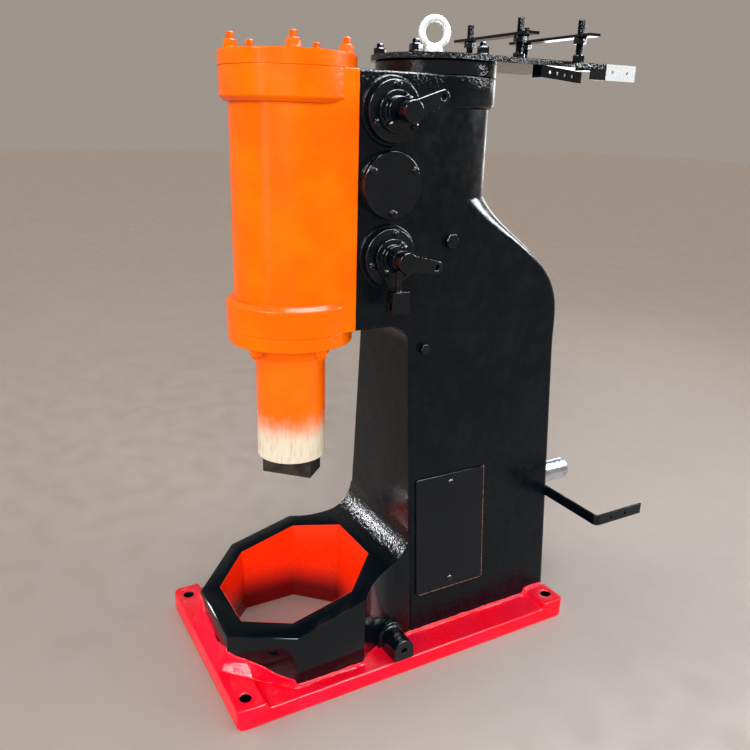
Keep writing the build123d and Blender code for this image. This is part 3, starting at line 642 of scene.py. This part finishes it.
def soften_nodes():
    """Rounds the edges of the frame's nodes by what each one's casting or sheet has."""
    for node, width in (
        ("lower_cover", 0.0025),
        ("motor_plate", 0.0010), ("motor_rail_front", 0.0008), ("motor_rail_rear", 0.0008),
        ("side_cover_near", 0.0012), ("side_cover_far", 0.0012), ("crank_bearing_cover", 0.0020),
        ("upper_side_plug", 0.0022), ("lower_side_plug", 0.0018),
        ("upper_valve_gland", 0.0016), ("lower_valve_gland", 0.0016),
        ("guard_angle", 0.0006), ("guard_hanger", 0.0006), ("upper_die", 0.0015), ("ram", 0.0015),
    ):
        soften(node, width)
    for name in VALVES:
        for side in ("", "_far"):
            soften(f"{name}_valve_cover{side}", 0.0018)
    bm = whole_faces("working_cylinder")
    bmesh.ops.triangulate(bm, faces=[f for f in bm.faces if all(shelf_edge(edge) for edge in f.edges)])
    rounded(bm, sharp(bm, lambda edge: not shelf_edge(edge)), 0.0022, clamp=False)
    rounded(bm, sharp(bm, shelf_edge), 0.0008, clamp=False)
    stand_in("working_cylinder_soft", bm, "working_cylinder")
    for node, width in (
        ("crankshaft", 0.0012), ("upper_valve_lever", 0.0022), ("lower_valve_lever", 0.0022),
        ("lower_valve_crank", 0.0014), ("guard_strap", 0.0006),
    ):
        soften(node, width, clamp=False)
    bm = whole_faces("anvil_ring")
    rounded(bm, sharp(bm, rim_edge), 0.0035, 4)
    rounded(bm, sharp(bm), 0.0022)
    stand_in("anvil_ring_soft", bm, "anvil_ring").modifiers.clear()
    bm = whole_faces("frame_body")
    rounded(bm, sharp(bm, level_edge(BODY_TOP)), 0.006, 5)
    rounded(bm, sharp(bm, boss_edge(*BOSS_SEAT)), 0.0032, 4)
    rounded(bm, sharp(bm, boss_edge(*BOSS_WALL)), 0.0012, 2)
    stand_in("frame_body_soft", bm, "frame_body")
    cast("base_plate", voxel=0.004, shrink=0.0014, patch=16.0, floor_z=0.0)
    for side in ("near", "far"):
        cast(f"treadle_bracket_{side}", voxel=0.0016, shrink=0.0009, patch=45.0)


def foot_outline(step=0.005):
    """Points of the foot line of ring and column on the base, with the outward direction at each."""
    half_x, corner = RING_HIGH[0], 0.118
    front = RING_LOW[1]
    near_y = RAM_Y + (RAM_Y - front) - corner
    arc_reach = 0.062
    bend = Vector((FOOT_HALF, near_y + (half_x - FOOT_HALF)))
    corners = [
        Vector((FOOT_HALF, COLUMN_BACK - 0.012)), bend + Vector((0, arc_reach)),
        bend + Vector((1, -1)).normalized() * arc_reach, Vector((half_x, near_y)),
        Vector((half_x, front + corner)), Vector((half_x - corner, front)),
    ]
    arc_radius = arc_reach / math.tan(math.radians(22.5))
    centre = corners[1] + Vector((arc_radius, 0))
    arc = []
    for k in range(1, 12):
        angle = math.radians(180 + 45 * k / 12)
        arc.append(centre + arc_radius * Vector((math.cos(angle), math.sin(angle))))
    right = corners[:2] + arc + corners[2:]
    outline = right + [Vector((-p.x, p.y)) for p in reversed(right)]
    points = []
    for a, b in zip(outline, outline[1:]):
        count = max(1, round((b - a).length / step))
        points += [a.lerp(b, k / count) for k in range(count)]
    points.append(outline[-1])
    result = []
    for k, point in enumerate(points):
        along = points[min(k + 1, len(points) - 1)] - points[max(k - 1, 0)]
        out = Vector((-along.y, along.x)).normalized()
        inwards = out.dot(Vector((0, RAM_Y)) - point) > 0 and point.y < RAM_Y + 0.1
        result.append((point, -out if inwards else out))
    return result


def step_between(value, start, end):
    """Rises smoothly from 0 at start to 1 at end."""
    share = max(0.0, min(1.0, (value - start) / (end - start)))
    return share * share * (3 - 2 * share)


def paint_line(point, level):
    """Height of the red paint's edge on the ring or column, highest round the ring's front."""
    angle = math.degrees(math.atan2(point.y - RAM_Y, point.x))
    # Angle in degrees from +X round the ram's axis, and height in metres
    line = (
        (-158, 0.052), (-140, 0.066), (-122, 0.095), (-115, 0.120), (-108, 0.092), (-96, 0.081), (-84, 0.069),
        (-75, 0.078), (-66, 0.090), (-59, 0.080), (-46, 0.074), (-34, 0.058), (-22, 0.050),
    )
    for (a, low), (b, high) in zip(line, line[1:]):
        if a <= angle <= b:
            return low + (high - low) * (angle - a) / (b - a)
    return level + 0.005


def foot_bead():
    """The thick brushed paint that fills the corner between the base and what stands on it."""
    pad_front, depth = 0.368, 0.012
    bm = bmesh.new()
    rings = []
    for point, out in foot_outline():
        pad = step_between(point.y, pad_front, pad_front + 0.010)
        front = step_between(point.y, BAND_BACK + 0.034, BAND_BACK - 0.006)
        level = BASE_TOP + (PAD_TOP - BASE_TOP) * max(pad, front)
        spot = Vector((point.x, point.y, 0))
        tall = paint_line(point, level) - level
        tall += (0.0015 + 0.0025 * front) * (noise.noise(spot * 28) + noise.noise(spot * 90))
        wide = 0.006 + 0.016 * front + 0.002 * noise.noise(spot * 19 + Vector((7, 3, 1)))
        wide += 0.0015 * noise.noise(spot * 75)
        section = [(-0.004, tall), (0.0006, tall), (0.0022, tall - 0.0012)]
        for k in range(1, 6):
            share = k / 6
            section.append((0.0025 + wide * share ** 1.2, max(0.0005, tall - 0.003) * (1 - share) ** 1.35))
        section += [(wide, 0.0), (wide + 0.003, -0.002), (wide, -depth), (-0.004, -depth)]
        rings.append([bm.verts.new((point.x + out.x * d, point.y + out.y * d, level + h)) for d, h in section])
    count = len(rings[0])
    for low, high in zip(rings, rings[1:]):
        for k in range(count):
            n = (k + 1) % count
            bm.faces.new((low[k], high[k], high[n], low[n]))
    bm.faces.new(rings[0])
    bm.faces.new(rings[-1][::-1])
    bmesh.ops.recalc_face_normals(bm, faces=bm.faces)
    piece("foot_bead", bm, RED)


def pocket_lining():
    """The crisp painted wall of the pocket where it runs on down through the base."""
    bm = whole_faces("base_plate")
    reach, wall = 0.185, 0.007
    others = []
    for face in bm.faces:
        centre = face.calc_center_median()
        inside = math.hypot(centre.x, centre.y - RAM_Y) < reach
        if not (inside and abs(face.normal.z) < 0.3):
            others.append(face)
    bmesh.ops.delete(bm, geom=others, context="FACES")
    bmesh.ops.solidify(bm, geom=bm.faces[:], thickness=wall)
    for vertex in bm.verts:
        vertex.co.z = max(0.0, vertex.co.z)
    bmesh.ops.recalc_face_normals(bm, faces=bm.faces)
    piece("pocket_lining", bm, NODE_FINISH["base_plate"])


def cylinder_fasteners():
    """Studs with nuts on the top cover and under the lower cover."""
    bm = bmesh.new()
    for at, angle in circle_places(count=5, radius=0.116, centre=(0, RAM_Y, COVER_TOP), first=-90):
        m16_nut(bm, at, UP, stud=0.013, spin=angle * 2.3)
    piece("top_cover_studs", bm, ORANGE)
    bm = bmesh.new()
    for at, angle in circle_places(count=5, radius=0.113, centre=(0, RAM_Y, FLANGE_BOTTOM), first=-62):
        m16_nut(bm, at, DOWN, stud=0.007, spin=angle * 1.7)
    piece("lower_cover_studs", bm, ORANGE)
    bm = bmesh.new()
    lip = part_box("ram")[1][0] + 0.009
    turned(bm, [(lip, 0), (lip, 0.007), (lip - 0.003, 0.010)], (0, RAM_Y, FLANGE_BOTTOM - 0.0002), DOWN, 72)
    piece("lower_gland_lip", bm, ORANGE)


def valve_fasteners():
    """Three bolts on each valve cover and two studs on each gland."""
    flats, head = 0.013, 0.0065
    for name, first in (("upper", 88), ("middle", 30), ("lower", 80)):
        for side, suffix in ((1, ""), (-1, "_far")):
            cover = f"{name}_valve_cover{suffix}"
            low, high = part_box(cover)
            x = high[0] if side > 0 else low[0]
            reach = (high[2] - low[2]) / 2 - 0.010
            bm = bmesh.new()
            for k in range(3):
                angle = math.radians(first + 120 * k)
                at = (x, middle(cover, 1) + reach * math.cos(angle), middle(cover, 2) + reach * math.sin(angle))
                bolt(bm, at, (side, 0, 0), flats, head, washer=0.0015, spin=angle * 1.9)
            piece(f"{name}_cover_bolts{suffix}", bm, BLACK_FITTING)
    flange_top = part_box("upper_valve_gland")[0][0] + 0.009
    for name in ("upper", "lower"):
        bm = bmesh.new()
        gland, reach = f"{name}_valve_gland", 0.0315
        for angle in (math.radians(48), math.radians(228)):
            y = middle(gland, 1) + reach * math.cos(angle)
            z = middle(gland, 2) + reach * math.sin(angle)
            at = (flange_top, y, z)
            bolt(bm, at, (1, 0, 0), flats, 0.008, stud=0.009, stud_radius=0.004, washer=0.001, spin=angle)
        piece(f"{name}_gland_studs", bm, BLACK_FITTING)


def compressor_fasteners():
    """Nuts on the studs that clamp motor plate and compressor cover."""
    bm = bmesh.new()
    for at, angle in circle_places(count=5, radius=0.121, centre=(0, COMPRESSOR_Y, PLATE_TOP), first=-125):
        m16_nut(bm, at, UP, stud=0.009, spin=angle * 1.3)
    piece("compressor_cover_nuts", bm, BLACK_FITTING)


def rail_studs():
    """Threaded studs with two nuts that carry the motor rails."""
    lock_nut = 0.013
    for row in ("front", "rear"):
        for place in ("near", "far"):
            node = f"rail_stud_{row}_{place}"
            low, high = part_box(node)
            x, y = middle(node, 0), middle(node, 1)
            rail_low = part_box(f"motor_rail_{row}")[0][2]
            bm = bmesh.new()
            threaded(bm, M16_RADIUS, high[2] - low[2], (x, y, low[2]), UP)
            hexagon(bm, M16_FLATS, lock_nut, (x, y, low[2]), UP, 0.3)
            hexagon(bm, M16_FLATS, lock_nut, (x, y, rail_low - lock_nut), UP, 0.8)
            stand_in(f"{node}_threaded", bm, node)


def primer_line(cover, side, half=0.0013, step=0.008, sunk=0.0045, tall=0.0035):
    """A thin ragged ridge of primer down the back edge of a side cover and along its lower edge."""
    low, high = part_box(cover)
    face = high[0] if side > 0 else -low[0]
    bm = bmesh.new()
    rows = []
    drop, along = high[2] - low[2], high[1] - low[1]
    for k in range(int((drop + along) / step)):
        way = k * step
        y = high[1] + half if way < drop else high[1] - (way - drop)
        z = high[2] - way if way < drop else low[2] - half
        out = Vector((0, 1, 0)) if way < drop else Vector((0, 0, -1))
        thick = half * (1 + 0.5 * noise.noise(Vector((y, z, side)) * 90))
        foot = Vector((side * (face - math.tan(COLUMN_LEAN) * (z - low[2]) - sunk), y, z))
        tip = foot + Vector((side * tall, 0, 0))
        rows.append([bm.verts.new(p) for p in (foot - out * half, tip - out * half, tip, foot + out * thick)])
    for a, b in zip(rows, rows[1:]):
        for k in range(4):
            n = (k + 1) % 4
            bm.faces.new((a[k], b[k], b[n], a[n]))
    bm.faces.new(rows[0])
    bm.faces.new(rows[-1][::-1])
    bmesh.ops.recalc_face_normals(bm, faces=bm.faces)
    piece(f"{cover}_primer_line", bm, PRIMER)


def cover_screws():
    """Two screws on each side cover, the primer line beside it, and six bolts on the bearing cover."""
    head, sunk = [(0.0075, 0), (0.0072, 0.002), (0.0050, 0.0042), (0.0020, 0.0050)], 0.0012
    for side, name in ((1, "near"), (-1, "far")):
        cover = f"side_cover_{name}"
        low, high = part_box(cover)
        axis = Vector((side * math.cos(COLUMN_LEAN), 0, math.sin(COLUMN_LEAN)))
        primer_line(cover, side)
        face = high[0] if side > 0 else -low[0]
        bm = bmesh.new()
        for height in (high[2] - 0.022, low[2] + 0.022):
            out = face - math.tan(COLUMN_LEAN) * (height - low[2])
            turned(bm, head, (side * (out - sunk), middle(cover, 1), height), axis, 24)
        piece(f"{cover}_screws", bm, BLACK_FITTING)
    face_y, centre_z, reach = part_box("crank_bearing_cover")[1][1], middle("crank_bearing_cover", 2), 0.062
    bm = bmesh.new()
    for k in range(6):
        angle = math.radians(60 * k + 30)
        at = (reach * math.cos(angle), face_y, centre_z + reach * math.sin(angle))
        bolt(bm, at, (0, 1, 0), 0.017, 0.010, washer=0.002, spin=angle)
    piece("bearing_cover_bolts", bm, BLACK_FITTING)


# Lights

# Fills: direction they come from, power, spread in degrees
FILLS = (
    ("fill_left", (-0.50, -0.66, 0.50), 1.8, 50),
    ("fill_camera", (0.75, -0.45, 0.36), 3.2, 50),
    ("fill_back", (0.45, 0.78, 0.36), 1.2, 50),
    ("fill_top", (-0.1, 0.1, 1.0), 0.35, 80),
)
# Windows: place, point they face, width and height, radiance
WINDOWS = (
    ("window_cove", (-2.9, -2.3, 1.4), (0, 0, 0.26), (0.9, 0.42), 170),
    ("window_front", (1.35, -3.3, 1.3), (0, -0.2, 1.0), (0.3, 1.6), 8),
    ("window_high_front", (1.0, -2.9, 3.4), (0, -0.2, 0.9), (1.4, 0.9), 60),
    ("window_roof", (0.3, 0.9, 4.3), (0, 0, 1.0), (3.0, 3.0), 42),
    ("window_back", (0.9, 3.6, 2.5), (0, 0, 1.1), (2.0, 1.2), 36),
    ("window_back_left", (-2.3, 3.3, 1.4), (0, 0, 1.1), (1.4, 1.2), 3),
)
# Windows that light only some pieces, or all but some
WINDOW_LINKS = (
    ("window_cove", ("anvil_ring_soft",), "INCLUDE"),
    ("window_roof", ("motor_plate_soft", "working_cylinder_cover", "compressor_cover"), "EXCLUDE"),
)


def place_light(name, kind, at, aim, power, tint, **settings):
    """A light of a kind at a place, pointing at another."""
    made = bpy.data.lights.new(name, kind)
    made.energy = power
    made.color = tint
    for key, value in settings.items():
        setattr(made, key, value)
    obj = bpy.data.objects.new(name, made)
    bpy.context.scene.collection.objects.link(obj)
    obj.location = at
    obj.rotation_euler = (Vector(aim) - Vector(at)).to_track_quat("-Z", "Y").to_euler()
    return obj


def fill(name, towards, power, spread):
    """Soft light from a direction, without a mirror image of its own in the gloss."""
    obj = place_light(name, "SUN", Vector(towards) * 5, (0, 0, 0), power, (1, 1, 1), angle=math.radians(spread))
    obj.visible_glossy = False


def window(name, at, aim, size, radiance):
    """A window: only a bright image in the gloss, since the fills do the rest."""
    power, tint = radiance * math.pi * size[0] * size[1], (0.94, 0.97, 1)
    obj = place_light(name, "AREA", at, aim, power, tint, shape="RECTANGLE", size=size[0], size_y=size[1])
    obj.visible_camera = False
    obj.visible_diffuse = False


def link_light(light, names, state):
    """Lets a light reach only the named objects (INCLUDE) or all but them (EXCLUDE)."""
    obj = bpy.data.objects[light]
    group = bpy.data.collections.new(f"{light}_{state.lower()}")
    for name in names:
        group.objects.link(bpy.data.objects[name])
    for row in group.collection_objects:
        row.light_linking.link_state = state
    obj.light_linking.receiver_collection = group


def studio():
    """Plain pale floor, a room that darkens overhead, soft fill lights and a few windows."""
    bm = bmesh.new()
    bmesh.ops.create_grid(bm, x_segments=1, y_segments=1, size=30)
    mesh = bpy.data.meshes.new("floor")
    bm.to_mesh(mesh)
    bm.free()
    floor = bpy.data.objects.new("floor", mesh)
    bpy.context.scene.collection.objects.link(floor)
    made, tree, place = start("pale_floor")
    tint = mixed(tree, mottle(tree, place, 3.0, 5.0), *FLOOR_SHADES)
    finish_surface(tree, tint, ranged(tree, mottle(tree, place, 12.0), 0.3, 0.7, 0.6, 0.75))
    mesh.materials.append(made)
    world = bpy.data.worlds.new("pale_room")
    world.use_nodes = True
    tree = world.node_tree
    height = axes(tree, add(tree, "ShaderNodeTexCoord").outputs["Generated"])[2]
    tint = mixed(tree, ranged(tree, height, 0.25, 0.80), *ROOM_SHADES)
    tree.links.new(tint, tree.nodes["Background"].inputs["Color"])
    bpy.context.scene.world = world
    for row in FILLS:
        fill(*row)
    for row in WINDOWS:
        window(*row)
    for row in WINDOW_LINKS:
        link_light(*row)


point_camera()
dress_nodes()
soften_nodes()
foot_bead()
pocket_lining()
cylinder_fasteners()
valve_fasteners()
compressor_fasteners()
rail_studs()
cover_screws()
studio()
